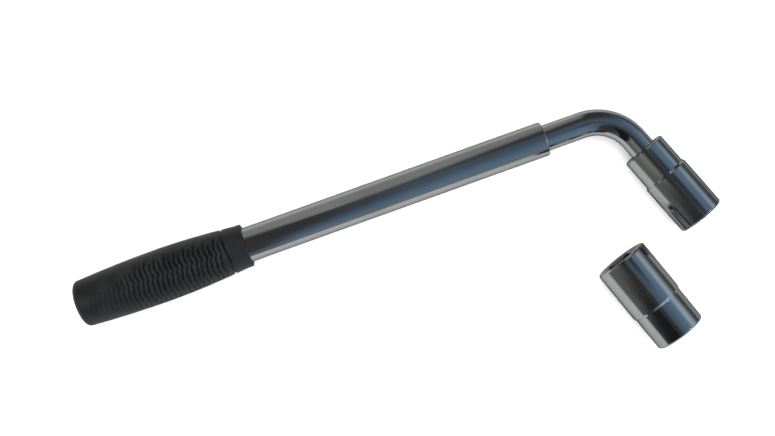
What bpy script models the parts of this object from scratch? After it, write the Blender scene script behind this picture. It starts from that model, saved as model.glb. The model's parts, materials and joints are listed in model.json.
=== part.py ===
"""Telescopic L-shaped wheel wrench with two double-ended sockets.

A round bar slides and turns inside a chromed handle tube. Its short bent leg
ends in a 12.7 mm square drive, which holds a stepped socket with a hex at each
end. A second, larger socket lies loose beside it.

Metres, +Z up. The handle lies along X with its grip at -X, and the leg points
towards -Y. The origin is on the floor, under the middle of the whole set.
"""

import math

import bmesh
import bpy
from mathutils import Matrix, Vector

MM = 0.001
SEGMENTS = 48                      # sides of a piece that shows
HIDDEN_SEGMENTS = 24               # sides of a turned piece inside the handle
RUNNING_GAP = 0.15 * MM            # round a piece that slides or turns
END_GAP = 0.3 * MM                 # between faces that meet

# Layout on the floor
GRIP_END_X = -194.2 * MM           # the grip's closed end
HANDLE_Y = 63.54 * MM              # the tube's axis
ARM_CORNER = 345.6 * MM            # where the tube's axis meets the leg's, from the grip's closed end
LEG_TURN = math.radians(-68.9)     # the leg's direction from the handle's
SPARE_PLACE = (134.85 * MM, -47.76 * MM)
SPARE_TURN = math.radians(109.3)   # its large end's direction from the handle's

# Grip
GRIP_LENGTH = 110 * MM
GRIP_RADIUS = 16.1 * MM            # at its thickest, which rests on the floor
GRIP_THICKEST = 56 * MM            # from the closed end
GRIP_MOUTH_RADIUS = 13 * MM
GRIP_END_RADIUS = 14 * MM
GRIP_END_WALL = 6 * MM
GRIP_CORNER = 5 * MM
COLLAR_LENGTH = 12 * MM
COLLAR_GROOVE = 0.6 * MM           # its depth, and half its width

# Handle tube
TUBE_RADIUS = 10.6 * MM
TUBE_BORE = 9.1 * MM
TUBE_START = 8.6 * MM
TUBE_MOUTH = 301.7 * MM
LIP_LENGTH = 2.5 * MM
LIP_BORE = 8.3 * MM
LIP_ROUND = 0.9 * MM
DETENT_DEPTH = 0.45 * MM
DETENT_HALF = 2.2 * MM
MOUTH_BUSH_LENGTH = 20 * MM
BUSH_CHAMFER = 0.35 * MM
PLUG_DEPTH = 14 * MM
PLUG_WALL = 2 * MM
PLUG_HEAD = 1.6 * MM
PLUG_CORNER = 0.6 * MM

# Sliding bar
BAR_RADIUS = 8 * MM
BAR_CHAMFER = 0.6 * MM
BEND_RADIUS = 28.8 * MM
EXTENSION = 165 * MM
NECK_RADIUS = 6 * MM
TAIL_BUSH_LENGTH = 14 * MM
WASHER_THICKNESS = 1.2 * MM
WASHER_CHAMFER = 0.2 * MM
CLIP_THICKNESS = 1 * MM
CLIP_WIDTH = 1.6 * MM
CLIP_GROOVE = 0.6 * MM
CLIP_GAP = math.radians(40)
TAIL_END = 2.5 * MM                # of bar left behind the clip's groove
LOCK_BALL_RADIUS = 3 * MM
LOCK_BALL_SETBACK = 7 * MM         # from the neck's shoulder
LOCK_BALL_SPARE = 4 * MM           # from the mouth bush when the bar is pulled out
LOCK_HOLE_DEPTH = 11.5 * MM

# Square drive
DRIVE_ACROSS = 12.7 * MM
DRIVE_LENGTH = 14 * MM
DRIVE_SHOULDER = 1.2 * MM
DRIVE_CHAMFER = 0.8 * MM
DRIVE_BALL_RADIUS = 2 * MM
DRIVE_BALL_STANDOFF = 0.1 * MM     # of its top above the square's face
DRIVE_HOLE_DEPTH = 8.5 * MM
BALL_CLEARANCE = 0.2 * MM          # round a ball in its hole
SPRING_CLEARANCE = 0.4 * MM        # more, round its spring
SPRING_WIRE = 0.25 * MM            # radius
SPRING_TURNS = 4

# Sockets
DRIVE_HOLE_ACROSS = 13 * MM
WEB_LENGTH = 14 * MM
WEB_CHAMFER = 0.2 * MM
RELIEF_LENGTH = 2 * MM             # of the round undercut at a hex's foot
RELIEF_DEPTH = 0.2 * MM            # beyond the hex's corners
MOUTH_CHAMFER = 1.2 * MM
MOUTH_FLARE = 0.5 * MM             # beyond the hex's corners
RIM_CHAMFER = 1 * MM
STEP_CHAMFER = 1.4 * MM
SMALL_PAIR = {
    "small_hex": 17 * MM,
    "large_hex": 19 * MM,
    "small_radius": 13.5 * MM,
    "large_radius": 14.55 * MM,
    "length": 53.8 * MM,
    "step": 19.5 * MM,
    "small_depth": 19 * MM,
}
LARGE_PAIR = {
    "small_hex": 21 * MM,
    "large_hex": 23 * MM,
    "small_radius": 16.05 * MM,
    "large_radius": 16.75 * MM,
    "length": 57 * MM,
    "step": 22 * MM,
    "small_depth": 21 * MM,
}
SOCKET_SETBACK = 28.4 * MM         # of the mounted socket's near face from the arm's corner


def clear_scene():
    for thing in list(bpy.data.objects):
        bpy.data.objects.remove(thing)


def finish_of(name, colour, metallic, roughness):
    material = bpy.data.materials.new(name)
    material.use_nodes = True
    shader = material.node_tree.nodes["Principled BSDF"]
    shader.inputs["Base Color"].default_value = (*colour, 1)
    shader.inputs["Metallic"].default_value = metallic
    shader.inputs["Roughness"].default_value = roughness
    return material


def chrome(name):
    return finish_of(name + "_chrome", (0.76, 0.77, 0.78), 1, 0.08)


def spring_steel(name):
    return finish_of(name + "_steel", (0.48, 0.47, 0.46), 1, 0.3)


def black_rubber(name):
    return finish_of(name + "_rubber", (0.022, 0.023, 0.025), 0, 0.6)


def nylon(name):
    return finish_of(name + "_nylon", (0.62, 0.6, 0.54), 0, 0.45)


def circle(radius):
    return lambda angle: radius


def polygon(sides, across):
    """Outline of a regular polygon that has one flat facing +Z."""
    sector = 2 * math.pi / sides

    def radius_at(angle):
        from_flat = (angle - math.pi / 2 + sector / 2) % sector - sector / 2
        return across / 2 / math.cos(from_flat)

    return radius_at


def smaller(first, second):
    return lambda angle: min(first(angle), second(angle))


def ring(place, radius_at, segments=SEGMENTS):
    """Points of an outline, turned about the local X axis of place."""
    angles = [2 * math.pi * i / segments for i in range(segments)]
    return [
        place @ Vector((0, radius_at(a) * math.cos(a), radius_at(a) * math.sin(a)))
        for a in angles
    ]


def along(station):
    return Matrix.Translation((station, 0, 0))


def add_object(name, mesh, material, parent=None, place=None):
    thing = bpy.data.objects.new(name, mesh)
    bpy.context.scene.collection.objects.link(thing)
    thing.parent = parent
    thing.matrix_basis = place or Matrix()
    mesh.materials.append(material)
    return thing


def smooth_mesh(name, bm):
    bmesh.ops.recalc_face_normals(bm, faces=bm.faces)
    mesh = bpy.data.meshes.new(name)
    bm.to_mesh(mesh)
    bm.free()
    mesh.shade_smooth()
    mesh.set_sharp_from_angle(angle=math.radians(30))
    return mesh


def skin(name, rings, closed):
    """Joins rings of points in order. A closed skin ends where it began, and an open one is capped."""
    bm = bmesh.new()
    loops = [[bm.verts.new(point) for point in points] for points in rings]
    followers = loops[1:] + loops[:1] if closed else loops[1:]
    for near, far in zip(loops, followers):
        for i in range(len(near)):
            j = (i + 1) % len(near)
            bm.faces.new((near[i], near[j], far[j], far[i]))
    if not closed:
        bm.faces.new(reversed(loops[0]))
        bm.faces.new(loops[-1])
    return smooth_mesh(name, bm)


def turned(name, outline, closed, segments=SEGMENTS):
    """A turned piece from (station, radius) pairs."""
    rings = [ring(along(x), circle(r), segments) for x, r in outline]
    return skin(name, rings, closed)


def add_hidden_piece(name, outline, material, parent, closed=True):
    mesh = turned(name, outline, closed, HIDDEN_SEGMENTS)
    return add_object(name, mesh, material, parent)


def tube_outline(start, end, outer, inner, chamfer):
    return [
        (start + chamfer, outer),
        (end - chamfer, outer),
        (end, outer - chamfer),
        (end, inner + chamfer),
        (end - chamfer, inner),
        (start + chamfer, inner),
        (start, inner + chamfer),
        (start, outer - chamfer),
    ]


def grip_outer_radius(station):
    """The sleeve swells from both ends to its thickest, as two half cosine waves."""
    if station < GRIP_THICKEST:
        end, reach = GRIP_END_RADIUS, station / GRIP_THICKEST
    else:
        end, reach = GRIP_MOUTH_RADIUS, (GRIP_LENGTH - station) / (GRIP_LENGTH - GRIP_THICKEST)
    return end + (GRIP_RADIUS - end) * math.sin(math.pi / 2 * reach)


def make_grip(parent):
    corner_steps = 4
    outline = []
    for i in range(corner_steps + 1):
        swing = math.pi / 2 * i / corner_steps
        station = GRIP_CORNER * (1 - math.sin(swing))
        radius = grip_outer_radius(GRIP_CORNER) - GRIP_CORNER * (1 - math.cos(swing))
        outline.insert(0, (station, radius))
    collar = GRIP_LENGTH - COLLAR_LENGTH
    body_steps = 12
    for i in range(1, body_steps + 1):
        station = GRIP_CORNER + (collar - GRIP_CORNER) * i / body_steps
        outline.append((station, grip_outer_radius(station)))
    outline.append((collar + COLLAR_GROOVE, grip_outer_radius(collar) - COLLAR_GROOVE))
    outline.append((collar + 2 * COLLAR_GROOVE, grip_outer_radius(collar)))
    outline.append((GRIP_LENGTH - COLLAR_GROOVE, GRIP_MOUTH_RADIUS))
    outline.append((GRIP_LENGTH, GRIP_MOUTH_RADIUS - COLLAR_GROOVE))
    bore = TUBE_RADIUS + RUNNING_GAP
    outline.append((GRIP_LENGTH, bore))
    outline.append((GRIP_END_WALL, bore))
    mesh = turned("grip", outline, closed=False)
    return add_object("grip", mesh, black_rubber("grip"), parent)


def detent_outline(station):
    """A shallow ring groove in the bore, walked from the mouth towards the grip."""
    return [
        (station + DETENT_HALF, TUBE_BORE),
        (station + DETENT_HALF / 2, TUBE_BORE + DETENT_DEPTH),
        (station - DETENT_HALF / 2, TUBE_BORE + DETENT_DEPTH),
        (station - DETENT_HALF, TUBE_BORE),
    ]


def make_handle_tube(parent, lock_station):
    mouth_steps = 3
    outline = [(TUBE_START, TUBE_BORE), (TUBE_START, TUBE_RADIUS)]
    for i in range(mouth_steps + 1):
        swing = math.pi / 2 * i / mouth_steps
        station = TUBE_MOUTH - LIP_ROUND * (1 - math.sin(swing))
        outline.append((station, TUBE_RADIUS - LIP_ROUND * (1 - math.cos(swing))))
    outline.append((TUBE_MOUTH, LIP_BORE + LIP_ROUND / 3))
    outline.append((TUBE_MOUTH - LIP_ROUND / 3, LIP_BORE))
    outline.append((TUBE_MOUTH - LIP_LENGTH, LIP_BORE))
    outline.append((TUBE_MOUTH - LIP_LENGTH, TUBE_BORE))
    outline += detent_outline(lock_station + EXTENSION)
    outline += detent_outline(lock_station)
    mesh = turned("handle_tube", outline, closed=True)
    return add_object("handle_tube", mesh, chrome("handle_tube"), parent)


def make_mouth_bush(parent, start):
    end = TUBE_MOUTH - LIP_LENGTH - END_GAP
    outline = tube_outline(start, end, TUBE_BORE - RUNNING_GAP, BAR_RADIUS + RUNNING_GAP, BUSH_CHAMFER)
    return add_hidden_piece("mouth_bush", outline, nylon("mouth_bush"), parent)


def make_tube_end_plug(parent):
    """A push-in plug whose head covers the tube's end, hollow from the tube side."""
    head_end = TUBE_START - END_GAP
    tip = head_end + PLUG_DEPTH
    body = TUBE_BORE - RUNNING_GAP
    hollow = body - PLUG_WALL
    outline = [
        (head_end - PLUG_HEAD, TUBE_RADIUS - PLUG_CORNER),
        (head_end - PLUG_HEAD + PLUG_CORNER, TUBE_RADIUS),
        (head_end, TUBE_RADIUS),
        (head_end, body),
        (tip - PLUG_CORNER, body),
        (tip, body - PLUG_CORNER),
        (tip, hollow),
        (head_end + PLUG_WALL / 2, hollow),
    ]
    return add_hidden_piece("tube_end_plug", outline, nylon("tube_end_plug"), parent, closed=False)


def bend_place(angle):
    """Place on the bar's centre line after it has turned by angle, which is towards -Y."""
    tangent = BEND_RADIUS * math.tan(-LEG_TURN / 2)
    centre = Vector((ARM_CORNER - tangent, -BEND_RADIUS, 0))
    point = centre + BEND_RADIUS * Vector((math.sin(angle), math.cos(angle), 0))
    return Matrix.Translation(point) @ Matrix.Rotation(-angle, 4, "Z")


def make_bent_shank(parent, tail, shoulder, leg_axis):
    """The bar from its tail neck, round the bend, to the square drive's tip."""
    groove = tail + TAIL_END
    stations = [
        (tail, NECK_RADIUS - BAR_CHAMFER),
        (tail + BAR_CHAMFER, NECK_RADIUS),
        (groove, NECK_RADIUS),
        (groove, NECK_RADIUS - CLIP_GROOVE),
        (groove + CLIP_THICKNESS + END_GAP, NECK_RADIUS - CLIP_GROOVE),
        (groove + CLIP_THICKNESS + END_GAP, NECK_RADIUS),
        (shoulder, NECK_RADIUS),
        (shoulder, BAR_RADIUS - BAR_CHAMFER),
        (shoulder + BAR_CHAMFER, BAR_RADIUS),
    ]
    rings = [ring(along(x), circle(r)) for x, r in stations]
    bend_steps = 14
    for i in range(bend_steps + 1):
        rings.append(ring(bend_place(-LEG_TURN * i / bend_steps), circle(BAR_RADIUS)))
    web_face = SOCKET_SETBACK + SMALL_PAIR["small_depth"]
    square_start = web_face - END_GAP
    square_end = square_start + DRIVE_LENGTH
    square = smaller(circle(BAR_RADIUS), polygon(4, DRIVE_ACROSS))
    tip = smaller(circle(BAR_RADIUS - DRIVE_CHAMFER), polygon(4, DRIVE_ACROSS - 2 * DRIVE_CHAMFER))
    for station, outline in (
        (square_start - DRIVE_SHOULDER, circle(BAR_RADIUS)),
        (square_start, square),
        (square_end - DRIVE_CHAMFER, square),
        (square_end, tip),
    ):
        rings.append(ring(leg_axis @ along(station), outline))
    mesh = skin("bent_shank", rings, closed=False)
    return add_object("bent_shank", mesh, chrome("bent_shank"), parent)


def drill(thing, name, centre, radius, floor_z):
    """A blind hole along Z, from floor_z up through the top of the piece."""
    height = 3 * BAR_RADIUS
    bm = bmesh.new()
    bmesh.ops.create_cone(
        bm, cap_ends=True, segments=HIDDEN_SEGMENTS, radius1=radius, radius2=radius, depth=height,
        matrix=Matrix.Translation((centre.x, centre.y, floor_z + height / 2)),
    )
    cutter = add_object(name, smooth_mesh(name, bm), thing.data.materials[0], thing.parent)
    cutter.hide_render = True
    cutter.display_type = "WIRE"
    cut = thing.modifiers.new(name, "BOOLEAN")
    cut.operation = "DIFFERENCE"
    cut.object = cutter


def make_ball(name, parent, centre, radius):
    rows = 8
    bm = bmesh.new()
    bmesh.ops.create_uvsphere(bm, u_segments=2 * rows, v_segments=rows, radius=radius)
    return add_object(name, smooth_mesh(name, bm), spring_steel(name), parent, Matrix.Translation(centre))


def make_spring(name, parent, centre, floor_z, top_z, outer_radius):
    """A compression spring standing along Z, with its wire's ends left plain."""
    points_per_turn = 10
    curve = bpy.data.curves.new(name, "CURVE")
    curve.dimensions = "3D"
    curve.bevel_depth = SPRING_WIRE
    curve.bevel_resolution = 1
    curve.use_fill_caps = True
    count = SPRING_TURNS * points_per_turn + 1
    spline = curve.splines.new("POLY")
    spline.points.add(count - 1)
    rise = top_z - floor_z - 2 * SPRING_WIRE
    middle = outer_radius - SPRING_WIRE
    for i in range(count):
        turn = 2 * math.pi * i / points_per_turn
        height = floor_z + SPRING_WIRE + rise * i / (count - 1)
        x = centre.x + middle * math.cos(turn)
        y = centre.y + middle * math.sin(turn)
        spline.points[i].co = (x, y, height, 1)
    return add_object(name, curve, spring_steel(name), parent)


def make_ball_catch(shank, prefix, centre, ball_radius, ball_z, floor_z):
    """A blind hole drilled in the shank's top, with a spring under a ball."""
    drill(shank, prefix + "_hole_cutter", centre, ball_radius + BALL_CLEARANCE, floor_z)
    ball_centre = Vector((centre.x, centre.y, ball_z))
    make_ball(prefix + "_ball", shank.parent, ball_centre, ball_radius)
    spring_foot = floor_z + END_GAP
    spring_top = ball_z - ball_radius - END_GAP
    spring_radius = ball_radius - SPRING_CLEARANCE
    make_spring(prefix + "_spring", shank.parent, centre, spring_foot, spring_top, spring_radius)


def make_tail_clip(parent, station):
    """An open snap ring: a flat section swept round the neck, with a gap at the top."""
    inner = NECK_RADIUS - CLIP_GROOVE + RUNNING_GAP
    outer = inner + CLIP_WIDTH
    steps = 32
    rings = []
    for i in range(steps + 1):
        angle = CLIP_GAP / 2 + (2 * math.pi - CLIP_GAP) * i / steps
        turn = along(station) @ Matrix.Rotation(angle, 4, "X")
        corners = ((0, inner), (CLIP_THICKNESS, inner), (CLIP_THICKNESS, outer), (0, outer))
        rings.append([turn @ Vector((x, 0, r)) for x, r in corners])
    mesh = skin("tail_clip", rings, closed=False)
    return add_object("tail_clip", mesh, spring_steel("tail_clip"), parent)


def socket_rings(size):
    """The socket's skin from its small mouth, over the outside, and back through both hexes."""
    length = size["length"]
    step = size["step"]
    small, large = size["small_radius"], size["large_radius"]
    small_hex, large_hex = polygon(6, size["small_hex"]), polygon(6, size["large_hex"])
    square = polygon(4, DRIVE_HOLE_ACROSS)
    small_corner = size["small_hex"] / math.sqrt(3)
    large_corner = size["large_hex"] / math.sqrt(3)
    small_mouth = circle(small_corner + MOUTH_FLARE)
    large_mouth = circle(large_corner + MOUTH_FLARE)
    small_relief = circle(small_corner + RELIEF_DEPTH)
    large_relief = circle(large_corner + RELIEF_DEPTH)
    web_start = size["small_depth"]
    web_end = web_start + WEB_LENGTH
    stations = [
        (0, circle(small - RIM_CHAMFER)),
        (RIM_CHAMFER, circle(small)),
        (step, circle(small)),
        (step + STEP_CHAMFER, circle(large)),
        (length - RIM_CHAMFER, circle(large)),
        (length, circle(large - RIM_CHAMFER)),
        (length, large_mouth),
        (length - MOUTH_CHAMFER, large_hex),
        (web_end + RELIEF_LENGTH, large_hex),
        (web_end + RELIEF_LENGTH - RELIEF_DEPTH, large_relief),
        (web_end, large_relief),
        (web_end - WEB_CHAMFER, square),
        (web_start + WEB_CHAMFER, square),
        (web_start, small_relief),
        (web_start - RELIEF_LENGTH + RELIEF_DEPTH, small_relief),
        (web_start - RELIEF_LENGTH, small_hex),
        (MOUTH_CHAMFER, small_hex),
        (0, small_mouth),
    ]
    return [ring(along(x), outline) for x, outline in stations]


def make_socket(name, size, parent, place):
    mesh = skin(name, socket_rings(size), closed=True)
    return add_object(name, mesh, chrome(name), parent, place)


def main():
    clear_scene()
    axis_height = GRIP_RADIUS
    handle_axis = bpy.data.objects.new("handle_axis", None)
    bpy.context.scene.collection.objects.link(handle_axis)
    handle_axis.location = (GRIP_END_X, HANDLE_Y, axis_height)

    bush_start = TUBE_MOUTH - LIP_LENGTH - END_GAP - MOUTH_BUSH_LENGTH
    lock_station = bush_start - LOCK_BALL_SPARE - EXTENSION
    shoulder = lock_station - LOCK_BALL_SETBACK
    tail_bush_start = shoulder - END_GAP - TAIL_BUSH_LENGTH
    washer_start = tail_bush_start - END_GAP - WASHER_THICKNESS
    groove = washer_start - END_GAP - CLIP_THICKNESS - END_GAP / 2
    tail = groove - TAIL_END

    make_grip(handle_axis)
    make_handle_tube(handle_axis, lock_station)
    make_mouth_bush(handle_axis, bush_start)
    make_tube_end_plug(handle_axis)

    neck_bore = NECK_RADIUS + RUNNING_GAP
    bush_outline = tube_outline(
        tail_bush_start, tail_bush_start + TAIL_BUSH_LENGTH, TUBE_BORE - RUNNING_GAP, neck_bore, BUSH_CHAMFER
    )
    add_hidden_piece("tail_guide_bush", bush_outline, nylon("tail_guide_bush"), handle_axis)
    washer_outline = tube_outline(
        washer_start, washer_start + WASHER_THICKNESS, TUBE_BORE - 3 * RUNNING_GAP, neck_bore, WASHER_CHAMFER
    )
    add_hidden_piece("tail_washer", washer_outline, spring_steel("tail_washer"), handle_axis)
    make_tail_clip(handle_axis, groove + END_GAP / 2)

    leg_axis = along(ARM_CORNER) @ Matrix.Rotation(LEG_TURN, 4, "Z")
    shank = make_bent_shank(handle_axis, tail, shoulder, leg_axis)
    lock_ball_z = TUBE_BORE - RUNNING_GAP / 2 - LOCK_BALL_RADIUS
    lock_floor_z = BAR_RADIUS - LOCK_HOLE_DEPTH
    lock_centre = Vector((lock_station, 0, 0))
    make_ball_catch(shank, "lock", lock_centre, LOCK_BALL_RADIUS, lock_ball_z, lock_floor_z)
    drive_middle = SOCKET_SETBACK + SMALL_PAIR["small_depth"] + WEB_LENGTH / 2
    drive_centre = leg_axis @ Vector((drive_middle, 0, 0))
    drive_ball_z = DRIVE_ACROSS / 2 + DRIVE_BALL_STANDOFF - DRIVE_BALL_RADIUS
    drive_floor_z = DRIVE_ACROSS / 2 - DRIVE_HOLE_DEPTH
    make_ball_catch(shank, "drive", drive_centre, DRIVE_BALL_RADIUS, drive_ball_z, drive_floor_z)

    make_socket("drive_socket", SMALL_PAIR, handle_axis, leg_axis @ along(SOCKET_SETBACK))
    spare_middle = Matrix.Translation((*SPARE_PLACE, LARGE_PAIR["large_radius"]))
    spare_start = Matrix.Rotation(SPARE_TURN, 4, "Z") @ along(-LARGE_PAIR["length"] / 2)
    make_socket("spare_socket", LARGE_PAIR, None, spare_middle @ spare_start)


main()
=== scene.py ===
import json
import math

import bmesh
import bpy
from mathutils import Matrix, Vector, noise


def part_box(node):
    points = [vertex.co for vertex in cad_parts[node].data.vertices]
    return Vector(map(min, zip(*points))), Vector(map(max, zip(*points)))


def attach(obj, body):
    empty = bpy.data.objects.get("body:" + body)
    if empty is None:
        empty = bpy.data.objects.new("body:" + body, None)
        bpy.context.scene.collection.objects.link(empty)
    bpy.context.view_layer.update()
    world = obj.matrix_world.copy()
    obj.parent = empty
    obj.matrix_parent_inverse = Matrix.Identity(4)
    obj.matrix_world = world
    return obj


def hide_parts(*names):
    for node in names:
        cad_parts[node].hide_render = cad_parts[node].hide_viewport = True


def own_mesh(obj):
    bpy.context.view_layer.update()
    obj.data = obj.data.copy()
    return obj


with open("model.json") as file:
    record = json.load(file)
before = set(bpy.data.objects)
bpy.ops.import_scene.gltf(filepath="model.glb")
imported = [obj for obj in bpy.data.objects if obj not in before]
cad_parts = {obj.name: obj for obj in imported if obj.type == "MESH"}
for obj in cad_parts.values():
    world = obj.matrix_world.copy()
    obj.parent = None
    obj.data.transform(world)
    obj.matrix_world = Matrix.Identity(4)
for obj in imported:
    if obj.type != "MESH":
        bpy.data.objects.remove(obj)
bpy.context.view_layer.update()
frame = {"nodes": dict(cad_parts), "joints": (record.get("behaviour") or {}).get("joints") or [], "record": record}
mm = 0.001
print("frame loaded:", len(frame["nodes"]), "nodes")


# Where things stand, read from the frame.
nodes = frame["nodes"]
joints = {joint["name"]: joint for joint in frame["joints"]}
mounts = {mount["name"]: mount for mount in frame["record"]["mounts"]}


def middleOf(values):
    return (min(values) + max(values)) / 2


# A matrix with its X along a node's own axis and its origin at the node's near end, and the node's length.
def axisPlace(node, direction):
    along = Vector(direction).normalized()
    side = Vector((-along.y, along.x, 0))
    points = [vertex.co for vertex in nodes[node].data.vertices]
    stations = [point.dot(along) for point in points]
    spot = along * min(stations) + side * middleOf([point.dot(side) for point in points])
    spot.z = middleOf([point.z for point in points])
    turn = Matrix((along, side, (0, 0, 1))).transposed().to_4x4()
    return Matrix.Translation(spot) @ turn, max(stations) - min(stations)


# Start and end of a node on the handle's axis, from the grip's closed end.
def spanOf(node):
    low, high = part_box(node)
    return low.x - handlePlace.translation.x, high.x - handlePlace.translation.x


handlePlace, gripLength = axisPlace("grip", (1, 0, 0))
driveSocketPlace, driveSocketLength = axisPlace("drive_socket", mounts["drive_socket_nut_face"]["axis"])
spareSocketPlace, spareSocketLength = axisPlace("spare_socket", mounts["spare_socket_large_face"]["axis"])
legDirection = driveSocketPlace.to_3x3() @ Vector((1, 0, 0))
legStart = driveSocketPlace.translation
# from the arm's corner, where the two axes cross, to the socket
cornerSetback = (handlePlace.translation.y - legStart.y) / -legDirection.y
armCorner = legStart - legDirection * cornerSetback
legAngle = math.atan2(-legDirection.y, legDirection.x)

sides = 96                         # round a turned piece; hexes and squares need a multiple of 24
easeStep = math.radians(15)        # turn between the points of an eased corner
easeShare = 0.48                   # of a neighbouring run, the most that an eased corner takes
crease = 34                        # degrees; a sharper edge than this stays crisp
pole = 0.05 * mm                   # radius at which a turned piece's closed end is capped


def circle(radius):
    return lambda angle: radius


# A regular polygon's outline with one flat facing up, its corners cut by a circle.
def flats(count, across, cornerRadius):
    sector = 2 * math.pi / count

    def radiusAt(angle):
        fromFlat = (angle - math.pi / 2 + sector / 2) % sector - sector / 2
        return min(across / 2 / math.cos(fromFlat), cornerRadius)

    return radiusAt


# A turned outline with its corners eased into arcs. Each point is (station, radius, corner's radius).
def easedOutline(points, closed):
    outline = []
    for i, (station, radius, ease) in enumerate(points):
        here = Vector((station, radius))
        if ease == 0:
            outline.append(here)
            continue
        before = Vector(points[i - 1][:2]) - here
        after = Vector(points[(i + 1) % len(points)][:2]) - here
        turn = math.pi - before.angle(after)
        reach = min(ease * math.tan(turn / 2), easeShare * before.length, easeShare * after.length)
        ease = reach / math.tan(turn / 2)
        centre = here + (before.normalized() + after.normalized()).normalized() * ease / math.cos(turn / 2)
        first = here + before.normalized() * reach - centre
        last = here + after.normalized() * reach - centre
        steps = max(2, math.ceil(turn / easeStep))
        for k in range(steps + 1):
            t = k / steps
            swing = first * math.sin((1 - t) * turn) + last * math.sin(t * turn)
            outline.append(centre + swing / math.sin(turn))
    return outline


# One ring of points about local X. Station and radius may both change with the angle.
def ringOf(stationAt, radiusAt, count=sides):
    points = []
    for i in range(count):
        angle = 2 * math.pi * i / count
        radius = radiusAt(angle)
        station = stationAt(angle) if callable(stationAt) else stationAt
        points.append(Vector((station, radius * math.cos(angle), radius * math.sin(angle))))
    return points


def turnedRings(outline, count=sides):
    return [ringOf(point[0], circle(point[1]), count) for point in outline]


# Skins a list of rings. "lathe" keeps each point's place before any bending, for the materials' streaks.
def skinned(name, rings, place, closed=True, lathe=None, sharp=crease):
    bm = bmesh.new()
    latheLayer = bm.verts.layers.float_vector.new("lathe")
    loops = []
    for points, straight in zip(rings, lathe or rings):
        loop = []
        for point, rest in zip(points, straight):
            vertex = bm.verts.new(point)
            vertex[latheLayer] = rest
            loop.append(vertex)
        loops.append(loop)
    followers = loops[1:] + loops[:1] if closed else loops[1:]
    for near, far in zip(loops, followers):
        for i in range(len(near)):
            j = (i + 1) % len(near)
            bm.faces.new((near[i], near[j], far[j], far[i]))
    if not closed:
        bm.faces.new(reversed(loops[0]))
        bm.faces.new(loops[-1])
    bmesh.ops.recalc_face_normals(bm, faces=bm.faces)
    return finishedMesh(name, bm, place, sharp)


def finishedMesh(name, bm, place, sharp=crease):
    mesh = bpy.data.meshes.new(name)
    bm.to_mesh(mesh)
    bm.free()
    mesh.shade_smooth()
    mesh.set_sharp_from_angle(angle=math.radians(sharp))
    thing = bpy.data.objects.new(name, mesh)
    bpy.context.scene.collection.objects.link(thing)
    thing.matrix_world = place
    return thing


# Keeps long round faces true beside their small eased edges.
def evenShading(thing):
    weighted = thing.modifiers.new("evenShading", "WEIGHTED_NORMAL")
    weighted.keep_sharp = True
    weighted.weight = 80


def fitOut(thing, body, node, slot, *materials):
    for material in materials:
        thing.data.materials.append(material)
    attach(thing, body)
    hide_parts(node)
    print("made", thing.name)


colourSockets = 6, 7               # a Mix node's two colours
colourResult = 2


class Finish:
    # A material and short ways to add and join its nodes.
    def __init__(self, name):
        self.material = bpy.data.materials.new(name)
        self.material.use_nodes = True
        self.tree = self.material.node_tree
        self.shader = self.tree.nodes["Principled BSDF"]

    def node(self, kind, settings=None, **sockets):
        made = self.tree.nodes.new("ShaderNode" + kind)
        for key, value in (settings or {}).items():
            setattr(made, key, value)
        for key, value in sockets.items():
            self.feed(made.inputs[key.replace("_", " ")], value)
        return made

    def feed(self, socket, value):
        if isinstance(value, bpy.types.NodeSocket):
            self.tree.links.new(value, socket)
        else:
            socket.default_value = value

    def set(self, **sockets):
        for key, value in sockets.items():
            self.feed(self.shader.inputs[key.replace("_", " ")], value)

    # The piece's own place, before bending, stretched by the three scales.
    def lathePlace(self, stretch):
        source = self.node("Attribute", {"attribute_name": "lathe"})
        return self.node("Mapping", Vector=source.outputs["Vector"], Scale=stretch).outputs["Vector"]

    def objectPlace(self, stretch=(1, 1, 1)):
        source = self.node("TexCoord")
        return self.node("Mapping", Vector=source.outputs["Object"], Scale=stretch).outputs["Vector"]

    def grain(self, place, scale, detail=3, roughness=0.5):
        made = self.node("TexNoise", Vector=place, Scale=scale, Detail=detail, Roughness=roughness)
        return made.outputs["Fac"]

    def ranged(self, value, low, high, fromLow=0.0, fromHigh=1.0):
        made = self.node("MapRange", Value=value)
        made.inputs["From Min"].default_value = fromLow
        made.inputs["From Max"].default_value = fromHigh
        made.inputs["To Min"].default_value = low
        made.inputs["To Max"].default_value = high
        return made.outputs["Result"]

    def mixed(self, factor, first, second):
        made = self.node("Mix", {"data_type": "RGBA"}, Factor=factor)
        for i, tone in zip(colourSockets, (first, second)):
            self.feed(made.inputs[i], tone if isinstance(tone, bpy.types.NodeSocket) else (*tone, 1))
        return made.outputs[colourResult]

    def relief(self, height, depth, strength=1.0, under=None):
        made = self.node("Bump", Height=height, Distance=depth, Strength=strength)
        if under is not None:
            self.feed(made.inputs["Normal"], under)
        return made.outputs["Normal"]


# How many of each mark there are to a metre, along the piece and across it.
chromeMarks = {
    "streaks": (12, 900, 900), "clouds": (45, 45, 45), "ripple": (14, 70, 70), "specks": (800, 800, 800),
}
boreMarks = {"broach": (30, 1600, 1600), "clouds": (180, 180, 180)}
rubberMarks = {"pebbles": 2600, "patches": 90}
steelMarks = {"scale": 500, "brushing": (300, 2500, 2500)}
nylonMarks = {"flow": (60, 300, 300), "grain": 3000}
paperMarks = {"tooth": 900}


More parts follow.
